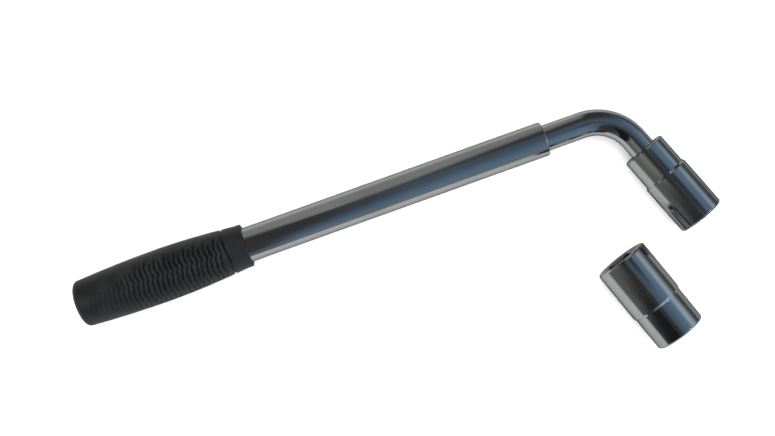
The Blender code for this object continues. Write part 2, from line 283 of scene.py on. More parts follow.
# Bright plate. Streaks run along the piece, and a slow ripple bends the reflections a little.
def chromePlate(name, look):
    finish = Finish(name)
    streaks = finish.grain(finish.lathePlace(chromeMarks["streaks"]), 1.0, 4)
    clouds = finish.grain(finish.lathePlace(chromeMarks["clouds"]), 1.0, 4, 0.6)
    ripple = finish.grain(finish.lathePlace(chromeMarks["ripple"]), 1.0, 1)
    specks = finish.grain(finish.lathePlace(chromeMarks["specks"]), 1.0, 2)
    worn = finish.ranged(clouds, 0, 1, fromLow=0.35, fromHigh=0.7)
    finish.set(
        Base_Color=finish.mixed(worn, look["bright"], look["dull"]),
        Metallic=1.0,
        Specular_Tint=(*look["edge"], 1),
        Roughness=finish.ranged(clouds, look["smoothest"], look["roughest"], fromLow=0.3, fromHigh=0.75),
        Normal=finish.relief(
            ripple, look["ripple"], 1.0,
            finish.relief(streaks, look["streak"], 1.0, finish.relief(specks, look["speck"])),
        ),
    )
    return finish.material


# Unpolished plate inside the sockets' hexes, with broach marks along the hole.
def boredPlate(name, look):
    finish = Finish(name)
    marks = finish.grain(finish.lathePlace(boreMarks["broach"]), 1.0, 3)
    clouds = finish.grain(finish.lathePlace(boreMarks["clouds"]), 1.0, 3)
    worn = finish.ranged(clouds, 0, 1, fromLow=0.3, fromHigh=0.7)
    finish.set(
        Base_Color=finish.mixed(worn, look["bright"], look["dull"]),
        Metallic=1.0,
        Roughness=finish.ranged(marks, look["smoothest"], look["roughest"], fromLow=0.3, fromHigh=0.7),
        Normal=finish.relief(marks, look["marks"]),
    )
    return finish.material


# Moulded rubber: fine pebbling, dusty patches, and painted shade that darkens it where the rib grooves cut in.
def mouldedRubber(name, look):
    finish = Finish(name)
    pebbles = finish.grain(finish.objectPlace(), rubberMarks["pebbles"], 3)
    patches = finish.grain(finish.objectPlace(), rubberMarks["patches"], 4, 0.6)
    dust = finish.ranged(patches, 0, 1, fromLow=0.4, fromHigh=0.75)
    groove = finish.node("Attribute", {"attribute_name": "groove"}).outputs["Fac"]
    face = finish.mixed(dust, look["deep"], look["dusty"])
    # painted shade, darkest where the rib grooves cut deepest
    grooveShade = finish.ranged(groove, 0, 1, fromLow=0.12, fromHigh=0.8)
    finish.set(
        Base_Color=finish.mixed(grooveShade, face, look["groove"]),
        Roughness=finish.ranged(patches, look["smoothest"], look["roughest"], fromLow=0.3, fromHigh=0.7),
        Normal=finish.relief(pebbles, look["pebble"]),
    )
    return finish.material


def oiledSteel(name, look):
    finish = Finish(name)
    scale = finish.grain(finish.objectPlace(), steelMarks["scale"], 4, 0.6)
    brushing = finish.grain(finish.objectPlace(steelMarks["brushing"]), 1.0, 2)
    worn = finish.ranged(scale, 0, 1, fromLow=0.35, fromHigh=0.7)
    finish.set(
        Base_Color=finish.mixed(worn, look["bright"], look["dull"]),
        Metallic=1.0,
        Roughness=finish.ranged(scale, look["smoothest"], look["roughest"], fromLow=0.3, fromHigh=0.7),
        Normal=finish.relief(brushing, look["brushing"]),
    )
    return finish.material


def mouldedNylon(name, look):
    finish = Finish(name)
    flow = finish.grain(finish.objectPlace(nylonMarks["flow"]), 1.0, 3)
    grain = finish.grain(finish.objectPlace(), nylonMarks["grain"], 2)
    finish.set(
        Base_Color=finish.mixed(flow, look["pale"], look["deep"]),
        Roughness=finish.ranged(grain, look["smoothest"], look["roughest"]),
        Subsurface_Weight=0.15,
        Subsurface_Scale=0.002,
        Normal=finish.relief(grain, look["grain"]),
    )
    return finish.material


tubeChrome = chromePlate("tubeChrome", {
    "bright": (0.56, 0.565, 0.57), "dull": (0.5, 0.505, 0.51), "edge": (0.35, 0.35, 0.36),
    "smoothest": 0.05, "roughest": 0.12,
    "ripple": 0.00012, "streak": 0.00001, "speck": 0.0000008,
})
barChrome = chromePlate("barChrome", {
    "bright": (0.56, 0.565, 0.575), "dull": (0.5, 0.505, 0.515), "edge": (0.35, 0.35, 0.36),
    "smoothest": 0.05, "roughest": 0.13,
    "ripple": 0.00014, "streak": 0.000008, "speck": 0.000001,
})
socketChrome = chromePlate("socketChrome", {
    "bright": (0.56, 0.562, 0.57), "dull": (0.49, 0.495, 0.5), "edge": (0.3, 0.3, 0.31),
    "smoothest": 0.05, "roughest": 0.11,
    "ripple": 0.0001, "streak": 0.0000025, "speck": 0.000001,
})
socketBore = boredPlate("socketBore", {
    "bright": (0.3, 0.3, 0.31), "dull": (0.19, 0.19, 0.2), "smoothest": 0.25, "roughest": 0.42,
    "marks": 0.00001,
})
gripRubber = mouldedRubber("gripRubber", {
    # groove is the colour of the painted shade deep in the rib grooves
    "deep": (0.0078, 0.0079, 0.008), "dusty": (0.0148, 0.0149, 0.015), "groove": (0.0022, 0.0021, 0.0021),
    "smoothest": 0.42, "roughest": 0.6,
    "pebble": 0.00003,
})
ballSteel = oiledSteel("ballSteel", {
    "bright": (0.6, 0.6, 0.6), "dull": (0.48, 0.48, 0.48), "smoothest": 0.08, "roughest": 0.2,
    "brushing": 0.000001,
})
springSteel = oiledSteel("springSteel", {
    "bright": (0.46, 0.45, 0.44), "dull": (0.3, 0.29, 0.27), "smoothest": 0.25, "roughest": 0.42,
    "brushing": 0.000004,
})
bushNylon = mouldedNylon("bushNylon", {
    "pale": (0.66, 0.64, 0.58), "deep": (0.52, 0.5, 0.43), "smoothest": 0.34, "roughest": 0.5,
    "grain": 0.00002,
})
print("finishes ready")

gripShape = {
    "thickest": 56 * mm,              # from the closed end
    "thickRadius": middleOf([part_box("grip")[0].z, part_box("grip")[1].z]),
    "mouthRadius": 13 * mm,
    "endRadius": 14 * mm,
    "endInset": 1.0 * mm,             # the rubber's crown stops short of the CAD solid's flat end
    "endCorner": 6.5 * mm,
    "endDome": 1.4 * mm,
    "endWall": 6 * mm,
    "bore": 10.75 * mm,
    "collarLength": 12 * mm,
    "collarGroove": 0.85 * mm,
    "collarWave": 0.5 * mm,
    "lipFlare": 0.35 * mm,
    "lipFlareLength": 4 * mm,
    "lipRound": 0.9 * mm,
    "boreEase": 0.3 * mm,
}
ribs = {
    "pitch": 3.05 * mm,
    "width": 0.62 * mm,
    "depth": 0.85 * mm,
    "from": 9 * mm,                   # along the grip
    "to": 96.5 * mm,
    "fadeIn": 3 * mm,
    "fadeOut": 2 * mm,
    "fullFrom": 52 * mm,              # ribs deepen from the closed end to here
    "shallow": 0.3,                   # of the full depth, at the closed end
    "panelTurn": math.radians(20),    # the ribbed panel's middle, from the top towards the leg's side
    "panelHalf": math.radians(60),
    "panelNarrow": math.radians(26),  # its half width at the closed end
    "ragged": math.radians(5),        # every other rib runs this much further round
    "sideFade": math.radians(9),
    "jog": 0.5,                       # of a pitch, between the two rows
    "jogTurn": math.radians(-16),     # where the rows meet, from the panel's middle
    "jogWidth": math.radians(3),
    "wave": 0.16,                     # of a pitch
    "waveTurn": math.radians(52),
    "wander": 0.22,                   # of a pitch, uneven along the grip
    "wanderScale": (0.9, 4),          # of its unevenness, to a pitch and to a radian
    "unevenDepth": 0.45,
    "unevenScale": 1.7,
}


def smooth(value, low, high):
    t = min(1, max(0, (value - low) / (high - low)))
    return t * t * (3 - 2 * t)


def gripRadius(station):
    if station < gripShape["thickest"]:
        end, reach = gripShape["endRadius"], station / gripShape["thickest"]
    else:
        end = gripShape["mouthRadius"]
        reach = (gripLength - station) / (gripLength - gripShape["thickest"])
    swell = end + (gripShape["thickRadius"] - end) * math.sin(math.pi / 2 * reach)
    fromMouth = gripLength - station
    flare = gripShape["lipFlare"] * (1 - smooth(fromMouth, 0, gripShape["lipFlareLength"]))
    return swell + flare


# How deep the rib grooves cut at a place. The angle runs from the top towards the leg's side.
def ribCut(station, angle):
    along = smooth(station, ribs["from"], ribs["from"] + ribs["fadeIn"])
    along *= 1 - smooth(station, ribs["to"] - ribs["fadeOut"], ribs["to"])
    if along == 0:
        return 0
    grown = smooth(station, ribs["from"], ribs["fullFrom"])
    strength = ribs["shallow"] + (1 - ribs["shallow"]) * grown
    half = ribs["panelNarrow"] + (ribs["panelHalf"] - ribs["panelNarrow"]) * grown
    fromTop = (angle + math.pi / 2 - ribs["panelTurn"]) % math.pi - math.pi / 2    # two panels, back to back
    edge = half + ribs["ragged"] * math.sin(station / ribs["pitch"] * math.pi)
    across = 1 - smooth(abs(fromTop), edge - ribs["sideFade"], edge)
    if across == 0:
        return 0
    jog = ribs["jog"] * math.tanh((fromTop - ribs["jogTurn"]) / ribs["jogWidth"]) / 2
    wave = ribs["wave"] * math.sin(2 * math.pi * fromTop / ribs["waveTurn"])
    alongScale, aroundScale = ribs["wanderScale"]
    spot = Vector((station / ribs["pitch"] * alongScale, fromTop * aroundScale, 0))
    wander = ribs["wander"] * noise.noise(spot)
    elsewhere = Vector((0, 0, 9))     # another layer of the same noise
    deeper = 1 + ribs["unevenDepth"] * noise.noise(spot * ribs["unevenScale"] + elsewhere)
    phase = station / ribs["pitch"] + jog + wave + wander
    fromGroove = (phase - round(phase)) * ribs["pitch"]
    return ribs["depth"] * strength * deeper * along * across * math.exp(-(fromGroove / ribs["width"]) ** 2)


def makeGrip():
    around = 192
    fineStep = 0.32 * mm
    domeShares = (0.02, 0.3, 0.6, 0.85)   # where the end's rings stand, of its flat's radius
    cornerSteps = 10
    lipSteps = 6
    shape = gripShape
    corner = shape["endCorner"]
    cornerRadius = gripRadius(corner)
    rings = []
    cuts = []
    flat = cornerRadius - corner
    for share in domeShares:
        dome = shape["endInset"] + shape["endDome"] * share * share
        rings.append(ringOf(dome, circle(flat * share), around))
    for k in range(cornerSteps):
        swing = math.pi / 2 * k / (cornerSteps - 1)
        crown = shape["endInset"] + shape["endDome"]
        station = crown + (corner - crown) * (1 - math.cos(swing))
        rings.append(ringOf(station, circle(flat + corner * math.sin(swing)), around))
    collar = gripLength - shape["collarLength"]
    last = gripLength - shape["lipRound"]
    count = round((last - corner) / fineStep)
    for k in range(1, count + 1):
        station = corner + (last - corner) * k / count

        def cutAt(angle, station=station):
            fromTop = angle - math.pi / 2     # local +Y is the far side, and the leg's side is -Y
            bent = shape["collarWave"] * math.sin(2 * fromTop)
            fromCollar = (station - collar - bent) / (0.8 * shape["collarGroove"])
            groove = shape["collarGroove"] * math.exp(-fromCollar * fromCollar)
            return groove + ribCut(station, fromTop)

        def radiusAt(angle, station=station, cutAt=cutAt):
            return gripRadius(station) - cutAt(angle)

        rings.append(ringOf(station, radiusAt, around))
        cuts += [cutAt(2 * math.pi * i / around) for i in range(around)]
    mouth = gripRadius(last)
    for k in range(1, lipSteps + 1):
        swing = math.pi / 2 * k / lipSteps
        station = last + shape["lipRound"] * math.sin(swing)
        rings.append(ringOf(station, circle(mouth - shape["lipRound"] * (1 - math.cos(swing))), around))
    bore, ease = shape["bore"], shape["boreEase"]
    inner = [(gripLength, bore + ease), (gripLength - ease, bore), (shape["endWall"], bore)]
    rings += turnedRings(inner, around)
    grip = skinned("rubberGrip", rings, handlePlace, closed=False, sharp=60)
    firstCut = (len(domeShares) + cornerSteps) * around      # after the dome's and the corner's points
    # the cut depth at each point, which the rubber uses to paint shade into the rib grooves
    groove = grip.data.attributes.new("groove", "FLOAT", "POINT")
    for i, cut in enumerate(cuts):
        groove.data[firstCut + i].value = cut / ribs["depth"]
    fitOut(grip, "handle", "grip", "grip_rubber", gripRubber)


makeGrip()

tubeShape = {
    "bore": 9.1 * mm,
    "lipBore": 8.3 * mm,
    "lipLength": 2.5 * mm,
    "mouthRound": 0.9 * mm,
    "detentDepth": 0.45 * mm,
    "detentHalf": 2.2 * mm,
}
plugShape = {
    "headGap": 0.3 * mm,              # between the head and the tube's end
    "play": 0.15 * mm,                # round the body, in the tube
    "wall": 2 * mm,
    "floor": 1 * mm,
    "gripFrom": 4 * mm,               # ring groove round the body, from under the head
    "gripTo": 6 * mm,
    "gripDepth": 0.35 * mm,
    "gripSlope": 0.4 * mm,
    "tipTaper": 0.4 * mm,
}
lockStation = middleOf(spanOf("lock_ball"))
travel = joints["telescope_slide"]["range_m"][1]


# A ring groove round the bore, which the lock ball clicks into.
def detent(station):
    bore, half, depth = tubeShape["bore"], tubeShape["detentHalf"], tubeShape["detentDepth"]
    return [
        (station + half, bore, 0.4 * mm), (station + half / 2, bore + depth, 0.8 * mm),
        (station - half / 2, bore + depth, 0.8 * mm), (station - half, bore, 0.4 * mm),
    ]


def makeHandleTube():
    start, mouth = spanOf("handle_tube")
    low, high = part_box("handle_tube")
    outer = (high.y - low.y) / 2
    shape = tubeShape
    lipBack = mouth - shape["lipLength"]
    points = [
        (start, shape["bore"], 0.2 * mm),
        (start, outer, 0.3 * mm),
        (mouth, outer, shape["mouthRound"]),
        (mouth, shape["lipBore"], 0.35 * mm),
        (lipBack, shape["lipBore"], 0.2 * mm),
        (lipBack, shape["bore"], 0),
    ]
    points += detent(lockStation + travel) + detent(lockStation)
    rings = turnedRings(easedOutline(points, True))
    tube = skinned("handleTube", rings, handlePlace)
    evenShading(tube)
    fitOut(tube, "handle", "handle_tube", "tube_chrome", tubeChrome)


# A plain ring with eased edges, and an oil groove round its inside if it has a depth.
def makeBush(name, node, body, material, slot, ease, grooveDepth):
    start, end = spanOf(node)
    low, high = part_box(node)
    outer = (high.y - low.y) / 2
    inner = boreOf(node)
    middle = (start + end) / 2
    half = 1.6 * grooveDepth           # half the groove's width
    points = [(start, inner, ease), (start, outer, ease), (end, outer, ease), (end, inner, ease)]
    if grooveDepth:
        points += [
            (middle + half, inner, 0.1 * mm), (middle, inner + grooveDepth, 0.2 * mm),
            (middle - half, inner, 0.1 * mm),
        ]
    ring = skinned(name, turnedRings(easedOutline(points, True)), handlePlace)
    evenShading(ring)
    fitOut(ring, body, node, slot, material)


# The radius of the hole through a node that lies on the handle's axis.
def boreOf(node):
    axis = handlePlace.translation
    return min(math.hypot(v.co.y - axis.y, v.co.z - axis.z) for v in nodes[node].data.vertices)


def makeTubeEndPlug():
    start, tip = spanOf("tube_end_plug")
    low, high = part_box("tube_end_plug")
    headRadius = (high.y - low.y) / 2
    shape = plugShape
    headEnd = spanOf("handle_tube")[0] - shape["headGap"]
    body = tubeShape["bore"] - shape["play"]
    hollow = body - shape["wall"]
    floor = headEnd + shape["floor"]
    grooveStart, grooveEnd = headEnd + shape["gripFrom"], headEnd + shape["gripTo"]
    groove, slope = body - shape["gripDepth"], shape["gripSlope"]
    points = [
        (start, pole, 0), (start, headRadius, 0.5 * mm), (headEnd, headRadius, 0.15 * mm),
        (headEnd, body, 0.1 * mm),
        (grooveStart, body, 0.2 * mm), (grooveStart + slope, groove, 0.2 * mm),
        (grooveEnd - slope, groove, 0.2 * mm), (grooveEnd, body, 0.2 * mm),
        (tip, body - shape["tipTaper"], 0.4 * mm), (tip, hollow, 0.3 * mm), (floor, hollow, 0.8 * mm),
        (floor, pole, 0),
    ]
    plug = skinned("tubeEndPlug", turnedRings(easedOutline(points, False)), handlePlace, closed=False)
    evenShading(plug)
    fitOut(plug, "handle", "tube_end_plug", "nylon", bushNylon)


makeHandleTube()
makeBush("mouthBush", "mouth_bush", "handle", bushNylon, "nylon", 0.4 * mm, 0.3 * mm)
makeTubeEndPlug()
makeBush("tailGuideBush", "tail_guide_bush", "carriage", bushNylon, "nylon", 0.5 * mm, 0.35 * mm)
makeBush("tailWasher", "tail_washer", "shank", springSteel, "spring_steel", 0.15 * mm, 0)

barShape = {
    "radius": 8 * mm,
    "bend": 28.8 * mm,
    "neck": 6 * mm,
    "clipGroove": 0.6 * mm,
    "clipGap": 0.3 * mm,              # of the groove's width beyond the clip's
    "tipEase": 0.7 * mm,
    "drive": 12.7 * mm,
    "driveLength": 14 * mm,
    "driveBevel": 0.8 * mm,
    "shoulderSteep": 1.6,             # how steeply the bar's end is turned down to the square
    "seatGap": 0.3 * mm,
    "lockHole": 3.2 * mm,
    "driveHole": 2.2 * mm,
}
drill = {"point": 0.3, "sides": 48, "clear": 4 * mm}      # its point's height is in its radius
springWire = 0.25 * mm


# Place on the bar's centre line after a turn through the bend, in the handle's frame, and the bend's start.
def bendPlace(angle):
    radius = barShape["bend"]
    corner = armCorner.x - handlePlace.translation.x
    start = corner - radius * math.tan(legAngle / 2)
    spot = Vector((start + radius * math.sin(angle), radius * (math.cos(angle) - 1), 0))
    return Matrix.Translation(spot) @ Matrix.Rotation(-angle, 4, "Z"), start


def makeBentShank():
    shape = barShape
    radius = shape["radius"]
    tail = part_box("bent_shank")[0].x - handlePlace.translation.x
    clipStart, clipEnd = spanOf("tail_clip")
    grooveStart = clipStart - shape["clipGap"] / 2
    grooveEnd = clipEnd + shape["clipGap"] / 2
    shoulder = spanOf("tail_guide_bush")[1] + shape["seatGap"]
    grooveRadius = shape["neck"] - shape["clipGroove"]
    bendStart = bendPlace(0)[1]
    tailPoints = [
        (tail, pole, 0), (tail, shape["neck"], shape["tipEase"]),
        (grooveStart, shape["neck"], 0.1 * mm), (grooveStart, grooveRadius, 0.1 * mm),
        (grooveEnd, grooveRadius, 0.1 * mm), (grooveEnd, shape["neck"], 0.1 * mm),
        (shoulder, shape["neck"], 0.2 * mm), (shoulder, radius, 0.6 * mm),
        (bendStart, radius, 0),
    ]
    rings = turnedRings(easedOutline(tailPoints, False))
    straight = list(rings)
    bendSteps = 56
    for k in range(1, bendSteps + 1):
        angle = legAngle * k / bendSteps
        section = ringOf(0, circle(radius))
        rings.append([bendPlace(angle)[0] @ point for point in section])
        straight.append([point + Vector((bendStart + shape["bend"] * angle, 0, 0)) for point in section])

    # the leg, counted from the arm's corner, with the square cut on its end
    legPlace = handlePlace.inverted() @ driveSocketPlace @ Matrix.Translation((-cornerSetback, 0, 0))
    bendReach = shape["bend"] * math.tan(legAngle / 2)
    driveMiddle = (Vector(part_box("drive_ball")[0]) + Vector(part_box("drive_ball")[1])) / 2
    ballStation = (driveMiddle - armCorner).dot(legDirection)
    squareStart = ballStation - shape["driveLength"] / 2 - shape["seatGap"]
    squareEnd = squareStart + shape["driveLength"]
    square = flats(4, shape["drive"], radius)
    bevel = shape["driveBevel"]
    steep = shape["shoulderSteep"]
    shoulderStart = squareStart - (radius - shape["drive"] / 2) / steep
    smaller = flats(4, shape["drive"] - 2 * bevel, radius - bevel)

    def shoulderAt(angle, extra):
        return shoulderStart + (radius - square(angle)) / steep + extra

    # rings stand close together beside an edge to hold it crisp
    legRings = [
        (shoulderStart - 0.4 * mm, circle(radius)),
        (shoulderStart - 0.05 * mm, circle(radius)),
        (lambda angle: shoulderAt(angle, 0.02 * mm), square),
        (lambda angle: shoulderAt(angle, 0.15 * mm), square),
        (squareEnd - bevel - 0.1 * mm, square),
        (squareEnd - bevel + 0.06 * mm, flats(4, shape["drive"] - 0.12 * mm, radius - 0.06 * mm)),
        (squareEnd - 0.1 * mm, flats(4, shape["drive"] - 1.8 * bevel, radius - 0.9 * bevel)),
        (squareEnd, smaller),
        (squareEnd, circle(pole)),
    ]
    offset = bendStart + shape["bend"] * legAngle - bendReach
    for stationAt, radiusAt in legRings:
        section = ringOf(stationAt, radiusAt)
        rings.append([legPlace @ point for point in section])
        straight.append([point + Vector((offset, 0, 0)) for point in section])
    bar = skinned("bentShank", rings, handlePlace, closed=False, lathe=straight)
    drillHole(bar, "lockHole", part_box("lock_ball"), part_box("lock_spring"), shape["lockHole"])
    drillHole(bar, "driveHole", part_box("drive_ball"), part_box("drive_spring"), shape["driveHole"])
    evenShading(bar)
    fitOut(bar, "shank", "bent_shank", "bar_chrome", barChrome)


# A blind hole under a ball, with a drill point. It is cut into the mesh at once, so no cutter stays behind.
def drillHole(thing, name, ballBox, springBox, radius):
    centre = (Vector(ballBox[0]) + Vector(ballBox[1])) / 2
    floor = springBox[0].z - barShape["seatGap"]
    top = ballBox[1].z + drill["clear"]
    outline = [(floor - radius * drill["point"], pole), (floor, radius), (top, radius), (top, pole)]
    upright = Matrix.Translation((centre.x, centre.y, 0)) @ Matrix.Rotation(-math.pi / 2, 4, "Y")
    cutter = skinned(name + "Cutter", turnedRings(outline, drill["sides"]), upright, closed=False)
    cut = thing.modifiers.new(name, "BOOLEAN")
    cut.operation = "DIFFERENCE"
    cut.object = cutter
    drilled = bpy.data.meshes.new_from_object(thing.evaluated_get(bpy.context.evaluated_depsgraph_get()))
    thing.modifiers.clear()
    thing.data = drilled
    drilled.set_sharp_from_angle(angle=math.radians(crease))
    bpy.data.objects.remove(cutter)


makeBentShank()

clipShape = {
    "width": 1.6 * mm,
    "gap": math.radians(40),
    "ease": 0.12 * mm,
    "taper": 0.22,                    # of the width, lost at the two ends
    "taperFrom": 0.02,                # of the ring's length from each end
    "taperTo": 0.3,
}
ballWear = {"height": 0.93, "width": 0.04, "depth": 0.004}     # in the ball's own radius
springShape = {
    "turns": 6,
    "perTurn": 28,
    "wireSides": 12,
    "closedPitch": 2.1,               # in wire radii
}


# An open snap ring of flat section, a little narrower towards its two ends.
def makeTailClip():
    start, end = spanOf("tail_clip")
    inner = boreOf("tail_clip")
    steps = 72
    rings = []
    ease = clipShape["ease"]
    for i in range(steps + 1):
        share = i / steps
        angle = clipShape["gap"] / 2 + (2 * math.pi - clipShape["gap"]) * share
        fromEnd = min(share, 1 - share)
        thinned = 1 - smooth(fromEnd, clipShape["taperFrom"], clipShape["taperTo"])
        width = clipShape["width"] * (1 - clipShape["taper"] * thinned)
        section = [
            (start + ease, inner), (end - ease, inner), (end, inner + ease), (end, inner + width - ease),
            (end - ease, inner + width), (start + ease, inner + width), (start, inner + width - ease),
            (start, inner + ease),
        ]
        turn = Matrix.Rotation(angle, 4, "X")
        rings.append([turn @ Vector((x, 0, r)) for x, r in section])
    clip = skinned("tailClip", rings, handlePlace, closed=False)
    fitOut(clip, "shank", "tail_clip", "spring_steel", springSteel)


# A hardened ball with a faint worn band where it rubs.
def makeBall(name, node, body):
    low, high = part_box(node)
    centre = (Vector(low) + Vector(high)) / 2
    radius = (high.z - low.z) / 2
    bm = bmesh.new()
    bmesh.ops.create_icosphere(bm, subdivisions=4, radius=radius)
    for vertex in bm.verts:
        band = math.exp(-((vertex.co.z / radius - ballWear["height"]) / ballWear["width"]) ** 2)
        vertex.co *= 1 - ballWear["depth"] * band
    ball = finishedMesh(name, bm, Matrix.Translation(centre), sharp=180)
    fitOut(ball, body, node, "spring_steel", ballSteel)


# A compression spring with its end turns closed up, standing under its ball.
def makeSpring(name, node):
    low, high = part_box(node)
    centre = (Vector(low) + Vector(high)) / 2
    coil = (high.x - low.x) / 2 - springWire
    turns, perTurn, wireSides = springShape["turns"], springShape["perTurn"], springShape["wireSides"]
    free = high.z - low.z - 2 * springWire
    closedTurn = springShape["closedPitch"] * springWire
    rings = []
    for i in range(turns * perTurn + 1):
        turn = i / perTurn
        linear = (turn - 1) / (turns - 2)
        if turn < 1:
            height = closedTurn * turn
        elif turn > turns - 1:
            height = free - closedTurn * (turns - turn)
        else:
            height = closedTurn + (free - 2 * closedTurn) * linear
        angle = 2 * math.pi * turn
        spoke = Matrix.Rotation(angle, 4, "Z")
        ring = []
        for k in range(wireSides):
            swing = 2 * math.pi * k / wireSides
            point = Vector((coil + springWire * math.cos(swing), 0, height + springWire * math.sin(swing)))
            ring.append(spoke @ point)
        rings.append(ring)
    place = Matrix.Translation((centre.x, centre.y, low.z + springWire))
    spring = skinned(name, rings, place, closed=False, sharp=50)
    fitOut(spring, "shank", node, "spring_steel", springSteel)
    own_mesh(spring)


makeTailClip()
makeBall("lockBall", "lock_ball", "lock_ball")
makeBall("driveBall", "drive_ball", "drive_ball")
makeSpring("lockSpring", "lock_spring")
makeSpring("driveSpring", "drive_spring")

driveSocketShape = {
    "smallHex": 17 * mm, "largeHex": 19 * mm, "smallRadius": 13.5 * mm, "largeRadius": 14.55 * mm,
    "step": 19.5 * mm, "smallDepth": 19 * mm,
}
spareSocketShape = {
    "smallHex": 21 * mm, "largeHex": 23 * mm, "smallRadius": 16.05 * mm, "largeRadius": 16.75 * mm,
    "step": 22 * mm, "smallDepth": 21 * mm,
}
socketEdges = {
    "rim": 0.9 * mm,                  # bevel round each end
    "rimEase": 0.45 * mm,
    "cone": 1.5 * mm,                 # length of the step between the two diameters
    "coneEase": 0.7 * mm,
    "mouthEase": 0.12 * mm,
    "flare": 0.5 * mm,                # of the mouth beyond the hex's corners
    "cornerCut": 0.22 * mm,           # off the hex's corners by the pilot drill
    "relief": 2 * mm,
    "reliefDepth": 0.2 * mm,
    "web": 14 * mm,
    "drive": 13 * mm,
    "driveCorner": 8.6 * mm,
    "driveEase": 0.25 * mm,
}


# The skin inside one hex, from its mouth to the web. Stations grow inwards from the mouth at 0.
def hexRings(across, depth):
    edges = socketEdges
    corner = across / math.sqrt(3)
    hexagon = flats(6, across, corner - edges["cornerCut"])
    mouth = corner + edges["flare"]
    relief = corner + edges["reliefDepth"]

    def coneAt(angle, shift):
        return mouth - hexagon(angle) + shift

    return [
        (0, circle(mouth + edges["mouthEase"])),
        (edges["mouthEase"], circle(mouth)),
        (lambda angle: coneAt(angle, -0.08 * mm), lambda angle: hexagon(angle) + 0.1 * mm),
        (lambda angle: coneAt(angle, 0.12 * mm), hexagon),
        (depth - edges["relief"] - 0.05 * mm, hexagon),
        (depth - edges["relief"] + edges["reliefDepth"], circle(relief)),
        (depth - 0.15 * mm, circle(relief)),
        (depth, circle(relief - 0.15 * mm)),
    ]


def makeSocket(name, node, body, place, length, shape):
    edges = socketEdges
    small, large, step = shape["smallRadius"], shape["largeRadius"], shape["step"]
    outside = easedOutline([
        (0, shape["smallHex"] / math.sqrt(3) + edges["flare"], 0),
        (0, small - edges["rim"], edges["rimEase"]),
        (edges["rim"], small, edges["rimEase"] * 1.6),
        (step, small, edges["coneEase"]),
        (step + edges["cone"], large, edges["coneEase"]),
        (length - edges["rim"], large, edges["rimEase"] * 1.6),
        (length, large - edges["rim"], edges["rimEase"]),
        (length, shape["largeHex"] / math.sqrt(3) + edges["flare"], 0),
    ], False)
    rings = turnedRings(outside[1:-1])
    webEnd = shape["smallDepth"] + edges["web"]
    square = flats(4, edges["drive"], edges["driveCorner"])
    ease = edges["driveEase"]
    eased = flats(4, edges["drive"] + 2 * ease, edges["driveCorner"] + ease)

    def mirrored(stationAt):
        if callable(stationAt):
            return lambda angle: length - stationAt(angle)
        return length - stationAt

    largeEnd = hexRings(shape["largeHex"], length - webEnd)
    smallEnd = hexRings(shape["smallHex"], shape["smallDepth"])
    inside = [(mirrored(stationAt), radiusAt) for stationAt, radiusAt in largeEnd]
    inside += [(webEnd, eased), (webEnd - ease, square)]
    inside += [(shape["smallDepth"] + ease, square), (shape["smallDepth"], eased)]
    inside += reversed(smallEnd)
    boreStart = len(rings)
    rings += [ringOf(stationAt, radiusAt) for stationAt, radiusAt in inside]
    socket = skinned(name, rings, place)
    evenShading(socket)
    fitOut(socket, body, node, "socket_chrome", socketChrome, socketBore)
    edgeBands = {0, boreStart - 1}
    for i, face in enumerate(socket.data.polygons):        # the ends and the bore are left unpolished
        if i // sides >= boreStart or i // sides in edgeBands:
            face.material_index = 1


makeSocket(
    "driveSocket", "drive_socket", "drive_socket", driveSocketPlace, driveSocketLength, driveSocketShape
)
makeSocket(
    "spareSocket", "spare_socket", "spare_socket", spareSocketPlace, spareSocketLength, spareSocketShape
)

floorLook = {
    "size": 6.0,
    "drop": 0.0002,                       # under the pieces, so that nothing touches it
    "tone": (0.97, 0.965, 0.955),
    "mirrored": (0.68, 0.69, 0.685),      # painted reflection: the tone the paper glows with in the plate
    "paintedReflectionFar": (0.1, 0.11, 0.115),    # painted reflection where the paper ends, beyond the sockets
    "paintedReflectionBehind": (0.4, 0.4, 0.395),  # and painted reflection far behind the handle
    "fadeFrom": 0.15,
    "fadeTo": 0.30,
    "behindFrom": 0.11,
    "behindTo": 0.2,
    "contactShadowReach": 0.03,                      # reach of the painted contact shadow where a piece stands on it
    "contactShadowTone": 0.08,                  # share of the tone left in that painted shadow
    "contactShadowOpen": (0.4, 0.85),           # how open the paper is where the painted shadow is darkest, and where it ends
}
camera = {
    "spot": (-0.0115, 0.0144, 0.7426),
    "lean": math.radians(3.0),
    "roll": math.radians(-19.75),
    "lens": 55.74,
}
overhead = {"size": 2.4, "height": 1.6, "power": 75.0}
flag = {
    "spot": (0.232, 0.004, 0.30),
    "turn": math.radians(18),
    "length": 0.16,
    "width": 0.12,
    "core": 0.5,                          # of its radius, before its edge starts to thin out
    "tone": (0.055, 0.062, 0.068),
}


